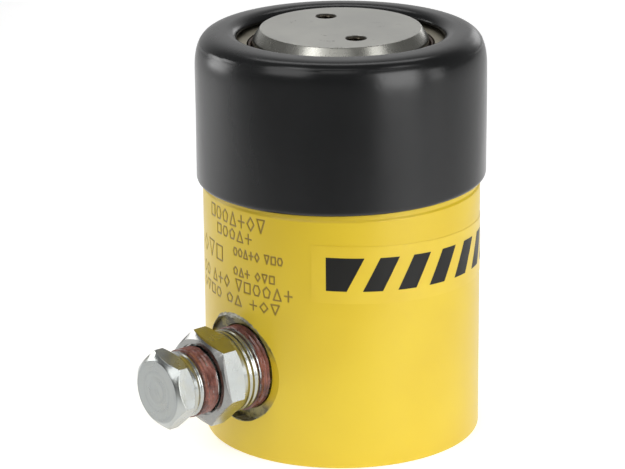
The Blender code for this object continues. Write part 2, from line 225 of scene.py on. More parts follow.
def yellow_paint():
    paint = Paint("yellow_enamel", (0.77, 0.57, 0.05), 0.36, Coat_Weight=0.10, Coat_Roughness=0.14)
    x, y, z = paint.axes()
    radius = paint.distance(x, y)
    patches = paint.noise(0.035, 2)
    colour = paint.mix(paint.ramp(patches, 0.35, 0.65), (0.690, 0.487, 0.016), (0.738, 0.540, 0.024))
    speckle = paint.ramp(paint.noise(0.9, 4, 0.7), 0.70, 0.78)
    colour = paint.mix(paint.times(speckle, 0.25), colour, (0.50, 0.34, 0.03))
    stamp = paint.attribute("stamp")
    colour = paint.mix(paint.times(stamp, 0.85), colour, (0.165, 0.096, 0.013))

    # paint thinned and scraped in the spotface, bare steel on every machined face
    grain = paint.noise(0.55, 5, 0.7)
    above_port = paint.maths("SUBTRACT", z, PORT_AXIS)
    from_port = paint.distance(x, above_port)
    bare = paint.attribute("bare")
    ragged = paint.ramp(paint.maths("ADD", bare, paint.maths("SUBTRACT", grain, 0.5)), 0.45, 0.6)
    steel = paint.mix(paint.ramp(paint.noise(0.8, 4), 0.35, 0.65), (0.16, 0.155, 0.12),
                      (0.50, 0.49, 0.42))
    olive = paint.mix(paint.ramp(grain, 0.42, 0.58), (0.085, 0.070, 0.022), (0.42, 0.36, 0.10))
    inside_port = paint.below(from_port, SPOTFACE_PAINT_R, 0.05)
    in_recess = paint.times(inside_port, paint.attribute("recess"))
    thinned = paint.most(paint.above(above_port, 4.5, 1.5), paint.below(above_port, -6.5, 1.5))
    colour = paint.mix(paint.times(in_recess, thinned), colour, olive)
    collar = paint.above(z, PAINT_TOP, 0.1)
    under = paint.below(z, 0.045, 0.015)
    inner = paint.below(radius, PAINT_INNER_R, 0.05)
    machined = paint.most(collar, paint.most(under, inner))
    machined = paint.times(machined, paint.most(paint.above(from_port, SPOTFACE_PAINT_R + 0.05, 0.1), collar))
    metal = paint.most(machined, ragged)
    colour = paint.mix(metal, colour, steel)

    peel = paint.noise(1.1, 2)
    cuts = machined_rings(paint, radius, 3.0)
    height = paint.blend(metal, paint.times(peel, 0.35), grain)
    normal = paint.bump(height, 0.25, 0.00008)
    normal = paint.bump(paint.times(cuts, machined), 0.35, 0.00002, normal)
    rough = paint.blend(metal, paint.ramp(patches, 0.3, 0.7, 0.32, 0.42), 0.42)
    return paint.use(Base_Color=colour, Roughness=rough, Normal=normal,
                     Metallic=paint.times(metal, 0.9))


def black_vinyl():
    paint = Paint("black_vinyl", (0.005, 0.0055, 0.0058), 0.26, Specular_IOR_Level=0.50)
    smear = paint.noise(0.05, 3, 0.6, paint.stretched((1, 1, 0.4)))
    colour = paint.mix(paint.ramp(smear, 0.35, 0.65), (0.0026, 0.0030, 0.0032),
                       (0.0054, 0.0060, 0.0066))
    dust = paint.ramp(paint.noise(1.4, 4, 0.75), 0.73, 0.80)
    colour = paint.mix(paint.times(dust, 0.25), colour, (0.10, 0.10, 0.10))
    rough = paint.ramp(smear, 0.3, 0.7, 0.22, 0.29)
    pits = paint.ramp(paint.cells(0.22), 0.05, 0.12)
    normal = paint.bump(pits, 0.20, 0.00004)
    normal = paint.bump(paint.noise(0.16, 2), 0.12, 0.0003, normal)
    return paint.use(Base_Color=colour, Roughness=rough, Normal=normal)


def painted_shade_on_ends(paint, colour, radius, y):
    """Painted shade: darker grey zinc on the plug's face, with faint circles, and on the bushing's chamfer.
    """
    # painted shade: the plug's face is a darker grey
    face = paint.below(y, 0.2 - PLUG_FACE, 0.05)
    circles = paint.ramp(machined_rings(paint, radius, 0.55), 0.2, 0.8, 0.75, 1.0)
    colour = paint.mix(paint.times(face, circles), colour, (0.31, 0.325, 0.32))
    # painted shade: the bushing's chamfer is a darker grey too
    chamfer = paint.below(y, 0.9 - BUSHING_FACE, 0.05)
    chamfer = paint.times(chamfer, paint.above(y, -0.15 - BUSHING_FACE, 0.05))
    chamfer = paint.times(chamfer, paint.above(radius, 7.3, 0.1))
    return paint.mix(chamfer, colour, (0.29, 0.29, 0.28))


def turned_steel(name, light, dark, roughness, rings_per_mm, in_port=False, tint=None, marks=1.0):
    """Metal with tool marks round its own axis, soft tarnish and fine scratches."""
    paint = Paint(name, light, roughness, 1.0)
    x, y, z = paint.axes()
    tarnish = paint.noise(0.12, 4, 0.6)
    colour = paint.mix(paint.ramp(tarnish, 0.3, 0.7), dark, light)
    if tint:
        colour = paint.mix(paint.ramp(paint.noise(0.2, 3), 0.5, 0.75, 0.0, 0.4), colour, tint)
    if in_port:
        radius = paint.distance(x, paint.maths("SUBTRACT", z, PORT_AXIS))
        along = y
        colour = painted_shade_on_ends(paint, colour, radius, y)
    else:
        radius = paint.distance(x, y)
        along = z
    scratches = paint.noise(0.9, 3, 0.8, paint.stretched((1, 0.08, 0.3)))
    rings = paint.maths("ADD", machined_rings(paint, radius, rings_per_mm),
                        machined_rings(paint, along, rings_per_mm * 0.8))
    rough = paint.ramp(paint.noise(0.25, 2, 0.5), 0.3, 0.7, roughness - 0.04, roughness + 0.06)
    normal = paint.bump(rings, 0.30 * marks, 0.000012)
    normal = paint.bump(scratches, 0.12 * marks, 0.00002, normal)
    return paint.use(Base_Color=colour, Roughness=rough, Normal=normal)


def plunger_steel():
    """Faced and ground steel with a few stains and dints on its top; the top's colour is painted lighter than
    the side's, a painted sheen.
    """
    paint = Paint("ground_steel", (0.45, 0.45, 0.41), 0.34, 1.0)
    x, y, z = paint.axes()
    radius = paint.distance(x, y)
    top = paint.above(z, RAM_TOP - 0.075, 0.025)
    stain = paint.noise(0.06, 4, 0.6)
    # painted sheen: the flat top gets a lighter copy of the side's steel colour
    top_with_painted_sheen = paint.mix(paint.ramp(stain, 0.35, 0.65), (0.53, 0.528, 0.495), (0.62, 0.617, 0.575))
    turned = paint.mix(paint.ramp(stain, 0.35, 0.65), (0.350, 0.347, 0.310), (0.415, 0.412, 0.378))
    warm = paint.mix(top, turned, top_with_painted_sheen)
    dint_grain = paint.ramp(paint.noise(0.45, 5, 0.8), 0.60, 0.66)
    dint_patch = paint.ramp(paint.noise(0.14, 2), 0.50, 0.58)
    dints = paint.times(top, paint.times(dint_grain, dint_patch))
    colour = paint.mix(paint.times(dints, 0.5), warm, (0.14, 0.13, 0.11))
    # painted shade: near black inside the threaded holes of the face
    hole = paint.attribute("hole")
    colour = paint.mix(hole, colour, (0.07, 0.06, 0.045))
    side_marks = paint.noise(0.5, 2, 0.5, paint.stretched((1, 1, 0.02)))
    rough = paint.blend(top, paint.ramp(side_marks, 0.3, 0.7, 0.25, 0.29),
                        paint.ramp(stain, 0.3, 0.7, 0.38, 0.48))
    normal = paint.bump(machined_rings(paint, radius, 2.4), 0.20, 0.00001)
    normal = paint.bump(dints, 0.4, 0.00004, normal)
    return paint.use(Base_Color=colour, Roughness=rough, Normal=normal)


def thread_sealant():
    paint = Paint("thread_sealant", (0.20, 0.05, 0.04), 0.28, Coat_Weight=0.3, Coat_Roughness=0.08)
    streaks = paint.noise(0.45, 4, 0.65)
    colour = paint.mix(paint.ramp(streaks, 0.35, 0.65), (0.085, 0.024, 0.017), (0.300, 0.110, 0.078))
    rough = paint.ramp(paint.noise(0.8, 3), 0.3, 0.7, 0.18, 0.42)
    normal = paint.bump(paint.noise(0.7, 4, 0.6), 0.6, 0.00016)
    return paint.use(Base_Color=colour, Roughness=rough, Normal=normal)


def moulded(name, light, dark, roughness):
    """Plastic or rubber with a soft grain."""
    paint = Paint(name, light, roughness)
    colour = paint.mix(paint.ramp(paint.noise(0.3, 4), 0.3, 0.7), dark, light)
    rough = paint.ramp(paint.noise(0.6, 3), 0.3, 0.7, roughness - 0.06, roughness + 0.08)
    normal = paint.bump(paint.noise(1.5, 3), 0.2, 0.00003)
    return paint.use(Base_Color=colour, Roughness=rough, Normal=normal)


def decal_film():
    paint = Paint("decal_film", (0.77, 0.55, 0.03), 0.34, Coat_Weight=0.15, Coat_Roughness=0.12)
    patches = paint.noise(0.08, 3)
    colour = paint.mix(paint.ramp(patches, 0.35, 0.7), (0.706, 0.499, 0.021), (0.752, 0.550, 0.032))
    normal = paint.bump(paint.noise(0.25, 3), 0.15, 0.0001)
    return paint.use(Base_Color=colour, Normal=normal)


def decal_ink():
    paint = Paint("decal_ink", (0.012, 0.012, 0.012), 0.40, Specular_IOR_Level=0.25)
    worn = paint.ramp(paint.noise(0.9, 5, 0.75), 0.66, 0.74)
    colour = paint.mix(paint.times(worn, 0.4), (0.011, 0.011, 0.010), (0.07, 0.06, 0.03))
    return paint.use(Base_Color=colour, Roughness=paint.ramp(paint.noise(0.3, 3), 0.3, 0.7, 0.34, 0.46))


MATERIALS = {
    "body_paint": yellow_paint(),
    "black_vinyl": black_vinyl(),
    "ground_steel": plunger_steel(),
    "plated_gland": turned_steel("dull_plated_steel", (0.50, 0.465, 0.375), (0.36, 0.33, 0.255),
                                 0.42, 2.6),
    "zinc_plate": turned_steel("bright_zinc", (0.48, 0.50, 0.49), (0.41, 0.43, 0.42), 0.24, 3.0,
                               in_port=True, tint=(0.45, 0.43, 0.33), marks=0.12),
    "dark_steel": turned_steel("black_oxide_steel", (0.10, 0.10, 0.105), (0.05, 0.05, 0.055),
                               0.42, 2.0),
    "spring_steel": turned_steel("spring_steel", (0.26, 0.26, 0.27), (0.15, 0.15, 0.16), 0.38, 1.2),
    "copper": turned_steel("annealed_copper", (0.80, 0.42, 0.26), (0.55, 0.26, 0.15), 0.34, 1.5),
    "thread_sealant": thread_sealant(),
    "urethane": moulded("brown_urethane", (0.10, 0.055, 0.030), (0.055, 0.030, 0.018), 0.45),
    "nylon": moulded("natural_nylon", (0.60, 0.56, 0.45), (0.48, 0.44, 0.34), 0.50),
    "black_plastic": moulded("dust_plug_plastic", (0.035, 0.035, 0.036), (0.020, 0.020, 0.021), 0.55),
}


# ---- turned shapes, in millimetres until they become meshes
EDGE = 0.3  # usual rounding of a turned edge
HOLD = 0.06  # a loop this close to a rounded edge keeps flats flat
ARC_STEPS = 4
SHARP_ANGLE = 32  # degrees


def rounded(corners):
    """Outline of (radius, height[, rounding]) corners with the rounded ones turned into arcs."""
    outline = []
    for index, corner in enumerate(corners):
        here = Vector(corner[:2])
        if len(corner) < 3:
            outline.append(tuple(here))
            continue
        back = Vector(corners[index - 1][:2]) - here
        ahead = Vector(corners[(index + 1) % len(corners)][:2]) - here
        size = min(corner[2], back.length * 0.45, ahead.length * 0.45)
        start = here + back.normalized() * size
        end = here + ahead.normalized() * size
        if back.length > 2 * (size + HOLD):
            outline.append(tuple(start + back.normalized() * HOLD))
        for step in range(ARC_STEPS + 1):
            t = step / ARC_STEPS
            outline.append(tuple(start * (1 - t) ** 2 + here * 2 * t * (1 - t) + end * t * t))
        if ahead.length > 2 * (size + HOLD):
            outline.append(tuple(end + ahead.normalized() * HOLD))
    return outline


def run(start, end, step):
    """Points from start to end, evenly spaced, both ends included."""
    count = max(1, round((Vector(end) - Vector(start)).length / step))
    return [tuple(Vector(start).lerp(Vector(end), i / count)) for i in range(count + 1)]


def ellipse_arc(centre, across, up, start, end, steps):
    angles = [math.radians(start + (end - start) * i / steps) for i in range(steps + 1)]
    return [(centre[0] + across * math.cos(a), centre[1] + up * math.sin(a)) for a in angles]


def even_angles(count):
    return np.arange(count) * TAU / count


def polar(radius, angle):
    return radius * math.cos(angle), radius * math.sin(angle)


def thread_cut(theta, height, low, high, pitch, depth, runout):
    """How deep a right-hand thread cuts at each angle and height; zero outside low to high."""
    phase = height / pitch - theta / TAU
    wave = 0.5 - 0.5 * np.cos(TAU * phase)
    fade = np.clip((height - low) / runout, 0, 1) * np.clip((high - height) / runout, 0, 1)
    return depth * wave * fade


def thread_at(crest, low, high, pitch, depth, runout):
    """The function that cuts a thread into the rows that lie at one radius."""
    def shape(theta, radius, height):
        cut = thread_cut(theta, height, low, high, pitch, depth, runout)
        return radius - np.where(np.isclose(radius, crest), cut, 0), height

    return shape


def lathe(outline, angles=144, shape=None, matrix=None):
    """Turns corners about Z, as a ring, or as a solid if the outline starts and ends on the axis.

    shape(theta, radius, height) may return new radii and heights.
    """
    angles = even_angles(angles) if isinstance(angles, int) else angles
    outline = np.array(rounded(outline), float)
    last = len(outline) - 1
    poles = (0, last) if outline[0, 0] == 0 else ()
    theta, radius = np.meshgrid(angles, outline[:, 0])
    height = np.repeat(outline[:, 1:], len(angles), axis=1)
    if shape:
        radius, height = shape(theta, radius, height)
    points = np.stack([radius * np.cos(theta), radius * np.sin(theta), height], axis=2) * MM
    verts, rows = [], []
    for index in range(len(outline)):
        if index in poles:
            rows.append([len(verts)] * len(angles))
            verts.append((0.0, 0.0, outline[index, 1] * MM))
        else:
            rows.append(list(range(len(verts), len(verts) + len(angles))))
            verts.extend(map(tuple, points[index]))
    faces = []
    for index in range(last if poles else last + 1):
        upper, lower = rows[index], rows[(index + 1) % len(rows)]
        for i in range(len(angles)):
            j = (i + 1) % len(angles)
            corners = (upper[i], lower[i], lower[j], upper[j])
            faces.append(tuple(dict.fromkeys(corners)))  # two corners are the same one at a pole
    mesh = bpy.data.meshes.new("turned")
    mesh.from_pydata(verts, [], faces)
    if matrix:
        mesh.transform(matrix)
    return add_object(mesh)


def moved(x, y):
    return Matrix.Translation((x * MM, y * MM, 0))


# ---- objects
def add_object(mesh):
    obj = linked(mesh.name, mesh)
    smooth(mesh)
    return obj


def smooth(mesh, angle=SHARP_ANGLE):
    mesh.shade_smooth()
    mesh.set_sharp_from_angle(angle=math.radians(angle))


def bake(obj, angle=SHARP_ANGLE):
    """Replaces the object's mesh by its evaluated one."""
    view = bpy.context.evaluated_depsgraph_get()
    mesh = bpy.data.meshes.new_from_object(obj.evaluated_get(view))
    obj.modifiers.clear()
    obj.data = mesh
    smooth(mesh, angle)


def combine(obj, tool, operation="DIFFERENCE", angle=SHARP_ANGLE):
    """Boolean of obj with tool; the tool is used up."""
    step = obj.modifiers.new(operation, "BOOLEAN")
    step.operation = operation
    step.object = tool
    step.solver = "EXACT"
    bake(obj, angle)
    bpy.data.objects.remove(tool)


def joined(objects):
    """One mesh object holding the bodies of several."""
    shape = bmesh.new()
    for obj in objects:
        shape.from_mesh(obj.data)
    mesh = objects[0].data.copy()
    shape.to_mesh(mesh)
    shape.free()
    for obj in objects[1:]:
        bpy.data.objects.remove(obj)
    objects[0].data = mesh
    return objects[0]


def face_weighted(obj):
    step = obj.modifiers.new("normals", "WEIGHTED_NORMAL")
    step.keep_sharp = True


def dress(obj, name, material):
    obj.name = name
    obj.data.materials.append(material)


def stand_for(obj, node, body, slot):
    """Makes a piece the look of one CAD node."""
    dress(obj, node + "_look", MATERIALS[slot])
    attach(obj, body)
    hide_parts(node)


def add_layer(mesh, name, values):
    layer = mesh.attributes.new(name, "FLOAT", "POINT")
    layer.data.foreach_set("value", np.asarray(values, np.float32))


def coordinates(mesh):
    """The x, y and z of every vertex, in millimetres."""
    flat = np.zeros(len(mesh.vertices) * 3)
    mesh.vertices.foreach_get("co", flat)
    return flat.reshape(-1, 3).T / MM


# ---- stamped marks
STROKE_WIDTH = 0.36
STROKE_DEPTH = 0.13
STROKE_STEP = 0.10
STROKE_SOFT = 0.3  # share of the width over which an edge slopes


def polygon_mark(corners):
    return [[corners[i], corners[(i + 1) % len(corners)]] for i in range(len(corners))]


def regular_mark(sides, turn):
    angles = [turn + TAU * i / sides for i in range(sides)]
    return polygon_mark([(0.5 + 0.5 * math.cos(a), 0.5 + 0.5 * math.sin(a)) for a in angles])


SQUARE = polygon_mark([(0.05, 0.05), (0.95, 0.05), (0.95, 0.95), (0.05, 0.95)])
DIAMOND = polygon_mark([(0.5, 0), (1, 0.5), (0.5, 1), (0, 0.5)])
PEAK = polygon_mark([(0, 0), (1, 0), (0.5, 1)])
FUNNEL = polygon_mark([(0, 1), (1, 1), (0.5, 0)])
CROSS = [[(0.5, 0.05), (0.5, 0.95)], [(0.05, 0.5), (0.95, 0.5)]]
MARKS = [SQUARE, DIAMOND, PEAK, regular_mark(6, 0), FUNNEL, CROSS, regular_mark(5, 0.3)]
MARK_ORDER = 3  # every third mark comes next

# lines of stamped marks: first and last angle from the port, foot, height, marks in each group
STAMP_LINES = [
    (-18.0, 18.3, 48.7, 2.8, [7]),
    (-12.4, 11.5, 45.7, 2.25, [5]),
    (-29.0, -6.0, 39.9, 3.4, [3]),
    (-0.4, 25.7, 42.5, 1.75, [5, 3]),
    (-0.5, 22.2, 38.4, 1.7, [3, 3]),
    (-30.0, 30.5, 35.1, 2.4, [2, 3, 6]),
    (-30.0, 24.8, 32.0, 2.05, [4, 2, 3]),
]
MARK_SHARE = 0.70  # width of a mark as a share of its place
GROUP_GAP = 0.6  # space between groups, in places
STAMP_LOW = 31.5
STAMP_HIGH = 52.2
STAMP_SPAN = math.radians(32.5)


def stamped_points():
    """Points along every stroke, as (arc length from the port, height)."""
    points = []
    kind = 0
    for first, last, foot, tall, groups in STAMP_LINES:
        places = sum(groups) + GROUP_GAP * (len(groups) - 1)
        pitch = math.radians(last - first) * BODY_R / places
        left = math.radians(first) * BODY_R
        wide = pitch * MARK_SHARE
        for number in groups:
            for _ in range(number):
                for (x0, y0), (x1, y1) in MARKS[kind % len(MARKS)]:
                    start = (left + x0 * wide, foot + y0 * tall)
                    end = (left + x1 * wide, foot + y1 * tall)
                    points += run(start, end, STROKE_STEP)
                left += pitch
                kind += MARK_ORDER
            left += GROUP_GAP * pitch
    return points


STROKES = stamped_points()
STAMP_TREE = kdtree.KDTree(len(STROKES))
for number, (across, up) in enumerate(STROKES):
    STAMP_TREE.insert((across, up, 0), number)
STAMP_TREE.balance()


def stamp_depth(from_port, height):
    """0 away from the strokes, 1 at the middle of one."""
    if abs(from_port) > STAMP_SPAN or not STAMP_LOW < height < STAMP_HIGH:
        return 0.0
    gap = STAMP_TREE.find((from_port * BODY_R, height, 0))[2]
    return max(0.0, min(1.0, (STROKE_WIDTH / 2 - gap) / (STROKE_WIDTH * STROKE_SOFT) + 0.5))


# ---- barrel
PORT_ANGLE = 1.5 * math.pi
SPOTFACE_R = 11.1
SPOTFACE_FLOOR = 26.3
BOLT_X = 19.8
COLLAR_PITCH = 25.4 / 14
COLLAR_LOW = 56.2
COLLAR_HIGH = 81.0
RELIEF_R = 27.7
NECK_R = 28.3
STEP_Z = 52.7
BORE_R = 21.45
BORE_FLOOR = 29.0
SEAT_R = 24.6  # the gland's thread and the shelf that it sits on
SEAT_Z = 71.7
COUNTERBORE_R = 8.2
COUNTERBORE_TOP = 12.0
SCREW_HOLE_R = 3.3
PIPE_PITCH = 25.4 / 18


def from_port(angle):
    """An angle about Z, counted from the port, between -pi and pi."""
    return np.mod(angle - PORT_ANGLE + math.pi, TAU) - math.pi


def barrel_angles():
    """Fine where the marks are stamped, coarse elsewhere."""
    coarse = np.radians(3.0)
    fine = np.radians(0.3)
    low, high = PORT_ANGLE - STAMP_SPAN, PORT_ANGLE + STAMP_SPAN
    stamped = np.arange(low, high, fine)
    rest = np.linspace(high, low + TAU, int((TAU - high + low) / coarse))[:-1]
    return np.concatenate([stamped, rest])


def rim_damage(across, up):
    """Ragged rises and dips of the surface at the rim of the spotface."""
    near = np.exp(-(np.hypot(across, up) - SPOTFACE_R) ** 2)
    angle = np.arctan2(up, across)
    chatter = np.sin(17 * angle) + 0.7 * np.sin(31 * angle + 1.0) + 0.5 * np.sin(53 * angle)
    return near * (0.05 + 0.035 * chatter) * np.abs(np.sin(angle)) ** 3


def barrel_shape(theta, radius, height):
    outside = radius > RELIEF_R - 0.7
    cut = thread_cut(theta, height, COLLAR_LOW, COLLAR_HIGH, COLLAR_PITCH, 0.95, 1.2)
    radius = radius - np.where(outside, cut, 0)
    around = from_port(theta)
    radius = radius - STROKE_DEPTH * np.vectorize(stamp_depth)(around, height) * outside
    painted = outside & (height < STEP_Z) & (np.abs(around) < 1.0)
    dips = np.minimum(rim_damage(around * BODY_R, height - PORT_Z), 0)
    return radius + np.where(painted, dips, 0), height


def port_cutter():
    """Spotface, tapered pipe thread and drilled end, as one stepped tool along the port."""
    reach = BODY_R + 3
    root = 8.75
    low, high = 15.0, SPOTFACE_FLOOR - 0.5
    outline = [(0, reach), (SPOTFACE_R, reach), (SPOTFACE_R, SPOTFACE_FLOOR),
               (root + 0.15, SPOTFACE_FLOOR)]
    outline += run((root, high), (root - 0.3, low), 0.24)
    outline += [(0, 13.4)]

    def shape(theta, radius, height):
        cut = thread_cut(theta, height, low, high, PIPE_PITCH, 0.8, 0.4)
        radius = radius - np.where(radius < root + 0.25, cut, 0)
        wobble = 0.10 * np.sin(9 * theta) + 0.07 * np.sin(23 * theta + 2) + 0.05 * np.sin(41 * theta)
        ragged = np.abs(np.sin(theta)) ** 3
        return radius + np.where(radius > SPOTFACE_R - 0.1, wobble * ragged, 0), height

    return lathe(outline, 120, shape, PORT_FRAME)


def bolt_hole_cutter(side):
    """Threaded blind hole in the base with a countersunk mouth."""
    root = 3.97
    mouth = root + 0.5
    low, high = 0.5, 12.0
    outline = [(0, 14.6), (3.3, 13.0)]
    outline += run((root, high), (root, low), 0.28)
    outline += [(mouth, 0), (mouth, -1), (0, -1)]
    thread = thread_at(root, low, high, PIPE_PITCH, 0.65, 0.3)
    return lathe(outline, 48, thread, moved(side * BOLT_X, 0))


def pin(radius, low, high, place=None, angles=32):
    """A plain tool, round or with as many sides as there are angles."""
    return lathe([(0, high), (radius, high), (radius, low), (0, low)], angles, None, place)


def make_barrel():
    crest = BODY_R - 0.08
    outline = [(SEAT_R, BODY_TOP), (27.4, BODY_TOP, EDGE), (crest, COLLAR_HIGH - 0.1)]
    outline += run((crest, COLLAR_HIGH - 0.2), (crest, COLLAR_LOW), COLLAR_PITCH / 6)
    outline += [(RELIEF_R, 55.9, EDGE), (RELIEF_R, 55.2, EDGE), (NECK_R, 54.8, 0.15),
                (NECK_R, STEP_Z + 0.1, 0.05), (BODY_R, STEP_Z - 0.35, 0.12), (BODY_R, STAMP_HIGH)]
    outline += run((BODY_R, STAMP_HIGH - 0.16), (BODY_R, STAMP_LOW), 0.16)
    outline += run((BODY_R, 31), (BODY_R, 5), 0.6)
    outline += [
        (BODY_R, 0, 0.4), (COUNTERBORE_R, 0, 0.3), (COUNTERBORE_R, COUNTERBORE_TOP, 0.2),
        (SCREW_HOLE_R, COUNTERBORE_TOP, 0.2), (SCREW_HOLE_R, BORE_FLOOR, 0.2),
        (BORE_R, BORE_FLOOR, 1.0), (BORE_R, SEAT_Z, EDGE), (SEAT_R, SEAT_Z, 0.2)]
    barrel = lathe(outline, barrel_angles(), barrel_shape)
    combine(barrel, joined([port_cutter(), bolt_hole_cutter(-1), bolt_hole_cutter(1)]))
    oil_passage = pin(2, PORT_Z, 32, moved(0, -16.5), 24)
    combine(barrel, oil_passage)

    x, y, z = coordinates(barrel.data)
    radius = np.hypot(x, y)
    stamps = np.vectorize(stamp_depth)(from_port(np.arctan2(y, x)), z)
    add_layer(barrel.data, "stamp", np.where(radius > BODY_R - 0.5, stamps, 0))
    to_axis = np.hypot(x, z - PORT_Z)
    up = np.abs(z - PORT_Z) / np.maximum(to_axis, MM)
    rim = np.exp(-((to_axis - SPOTFACE_R) / 0.7) ** 2)
    share = np.where(z > PORT_Z, 1.0, 0.5)
    bare = share * rim * np.clip((up - 0.70) / 0.22, 0, 1)
    add_layer(barrel.data, "bare", np.where((y < 0) & (radius > 20), bare, 0))
    add_layer(barrel.data, "recess", (y < -13) & (to_axis < SPOTFACE_R + 0.5))
    face_weighted(barrel)
    stand_for(barrel, "cylinder_body", "barrel", "body_paint")


# ---- decal of plain bars
DECAL_START = VIEW_ANGLE - math.radians(12.9)  # angles from the port
DECAL_END = VIEW_ANGLE + math.radians(131)
DECAL_LOW = 35.6
DECAL_HIGH = 47.6
DECAL_SLOPE = -1.15  # drop per radian: it was put on a little crooked
FILM_THICK = 0.05
INK_THICK = 0.02
BAR_START = VIEW_ANGLE - math.radians(7.0)
BAR_END = VIEW_ANGLE + math.radians(126)
BAR_LOW = 38.2
BAR_HIGH = 45.2
BAR_COUNT = 9
BAR_SHARE = 0.56  # width of a bar as a share of its place
BAR_LEAN = 3.6
PATCH_STEP = 0.5


def wrapped_patch(corners, thickness, base, rows=10):
    """A thin curved plate on the barrel from four (arc length, height) corners."""
    lower_left, lower_right, upper_right, upper_left = (Vector(c) for c in corners)
    columns = int((lower_right - lower_left).length / PATCH_STEP)
    shape = bmesh.new()
    layers = []
    for radius in (base, base + thickness):
        grid = []
        for j in range(rows + 1):
            left = lower_left.lerp(upper_left, j / rows)
            right = lower_right.lerp(upper_right, j / rows)
            line = []
            for i in range(columns + 1):
                point = left.lerp(right, i / columns)
                along = point.x / BODY_R
                angle = PORT_ANGLE + along
                up = point.y + DECAL_SLOPE * (along - BAR_START)
                line.append(shape.verts.new(np.array([*polar(radius, angle), up]) * MM))
            grid.append(line)
        layers.append(grid)
    inner, outer = layers
    for j in range(rows):
        for i in range(columns):
            shape.faces.new((outer[j][i], outer[j][i + 1], outer[j + 1][i + 1], outer[j + 1][i]))
            shape.faces.new((inner[j][i], inner[j + 1][i], inner[j + 1][i + 1], inner[j][i + 1]))
    border = [(0, i) for i in range(columns)] + [(j, columns) for j in range(rows)]
    border += [(rows, i) for i in range(columns, 0, -1)] + [(j, 0) for j in range(rows, 0, -1)]
    for (j, i), (n, m) in zip(border, border[1:] + border[:1]):
        shape.faces.new((inner[j][i], inner[n][m], outer[n][m], outer[j][i]))
    mesh = bpy.data.meshes.new("patch")
    shape.to_mesh(mesh)
    shape.free()
    return add_object(mesh)


def make_decal():
    film_base = BODY_R + 0.01
    start, end = DECAL_START * BODY_R, DECAL_END * BODY_R
    film = wrapped_patch([(start, DECAL_LOW), (end, DECAL_LOW), (end, DECAL_HIGH),
                          (start, DECAL_HIGH)], FILM_THICK, film_base)
    ink_base = film_base + FILM_THICK + 0.005
    pitch = (BAR_END - BAR_START) * BODY_R / BAR_COUNT
    bars = []
    for index in range(BAR_COUNT):
        left = BAR_START * BODY_R + index * pitch
        right = left + pitch * BAR_SHARE
        upper_left = left + (BAR_LEAN if index else 0)
        bars.append(wrapped_patch([(left, BAR_LOW), (right, BAR_LOW), (right + BAR_LEAN, BAR_HIGH),
                                   (upper_left, BAR_HIGH)], INK_THICK, ink_base))
    bars = joined(bars)
    dress(film, "decal_film", decal_film())
    dress(bars, "decal_bars", decal_ink())
    for piece in (film, bars):
        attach(piece, "barrel")


# ---- protector
OUTER_R = PROTECTOR_HIGH.x
CREST_R = 23.6
CREST_Z = PROTECTOR_HIGH.z
HEM_Z = PROTECTOR_LOW.z
SHOULDER_Z = 76.0
FULLNESS = 3.0  # power of the curve that turns the wall into the crest
FULLER_IN_FRONT = 1.4
FRONT_RISE = 0.0150  # the soft cap sits a little crooked on the collar
HEM_SLANT = 0.0141
HEM_DROP = 0.1
SHRINK = 0.07  # keeps the swellings inside the CAD box
CAP_BORE_R = 28.9


def shoulder_radius(height, fullness):
    rise = np.clip((height - SHOULDER_Z) / (CREST_Z - SHOULDER_Z), 0, 1)
    return CREST_R + (OUTER_R - CREST_R) * (1 - rise ** fullness) ** (1 / fullness)


def protector_shape(theta, radius, height):
    front = np.cos(theta - (VIEW_ANGLE - math.pi / 2))
    right = np.cos(theta - VIEW_ANGLE)
    on_curve = np.isclose(radius, shoulder_radius(height, FULLNESS), atol=0.02)
    fullness = FULLNESS + FULLER_IN_FRONT * np.maximum(front, 0) ** 2
    radius = np.where(on_curve & (height > SHOULDER_Z), shoulder_radius(height, fullness), radius)
    slow = 0.03 * np.sin(2 * theta + 0.6) + 0.02 * np.sin(5 * theta + 1.9)
    slow = slow + 0.02 * np.sin(3 * theta + height * 0.26)
    radius = radius + np.where(radius > CAP_BORE_R + 0.1, slow - SHRINK, 0)
    up = (height - HEM_Z) / (CREST_Z - HEM_Z)
    lift = FRONT_RISE * front * radius * up
    slant = (HEM_SLANT * right * radius - HEM_DROP) * (1 - up)
    return radius, height + lift + slant


def make_protector():
    lip_low = GLAND_HIGH.z + 0.45
    lip_h = CREST_Z - lip_low - 0.6
    opening_r = 21.2
    turn = np.linspace(math.pi / 2, 0, 33)
    heights = SHOULDER_Z + (CREST_Z - SHOULDER_Z) * np.sin(turn) ** (2 / FULLNESS)
    outline = [(shoulder_radius(z, FULLNESS), z) for z in heights]
    hem_r, hem_h = 0.65, 0.85
    outline += run((OUTER_R, SHOULDER_Z - 1), (OUTER_R, HEM_Z + hem_h + 0.5), 1.5)
    outline += ellipse_arc((OUTER_R - hem_r, HEM_Z + hem_h), hem_r, hem_h, 0, -90, 8)
    outline += rounded([(OUTER_R - hem_r - 0.05, HEM_Z), (CAP_BORE_R, HEM_Z, 0.15),
                        (CAP_BORE_R, HEM_Z + 1.8)])[1:]
    outline += run((CAP_BORE_R, HEM_Z + 2.0), (CAP_BORE_R, 80.3), 4)
    outline += [(CAP_BORE_R, 80.5), (27.9, lip_low, 0.5), (opening_r + 1.0, lip_low),
                (opening_r + 0.5, lip_low)]
    outline += ellipse_arc((CREST_R, CREST_Z - lip_h), CREST_R - opening_r, lip_h, 180, 96, 18)
    stand_for(lathe(outline, 240, protector_shape), "collar_protector", "protector", "black_vinyl")


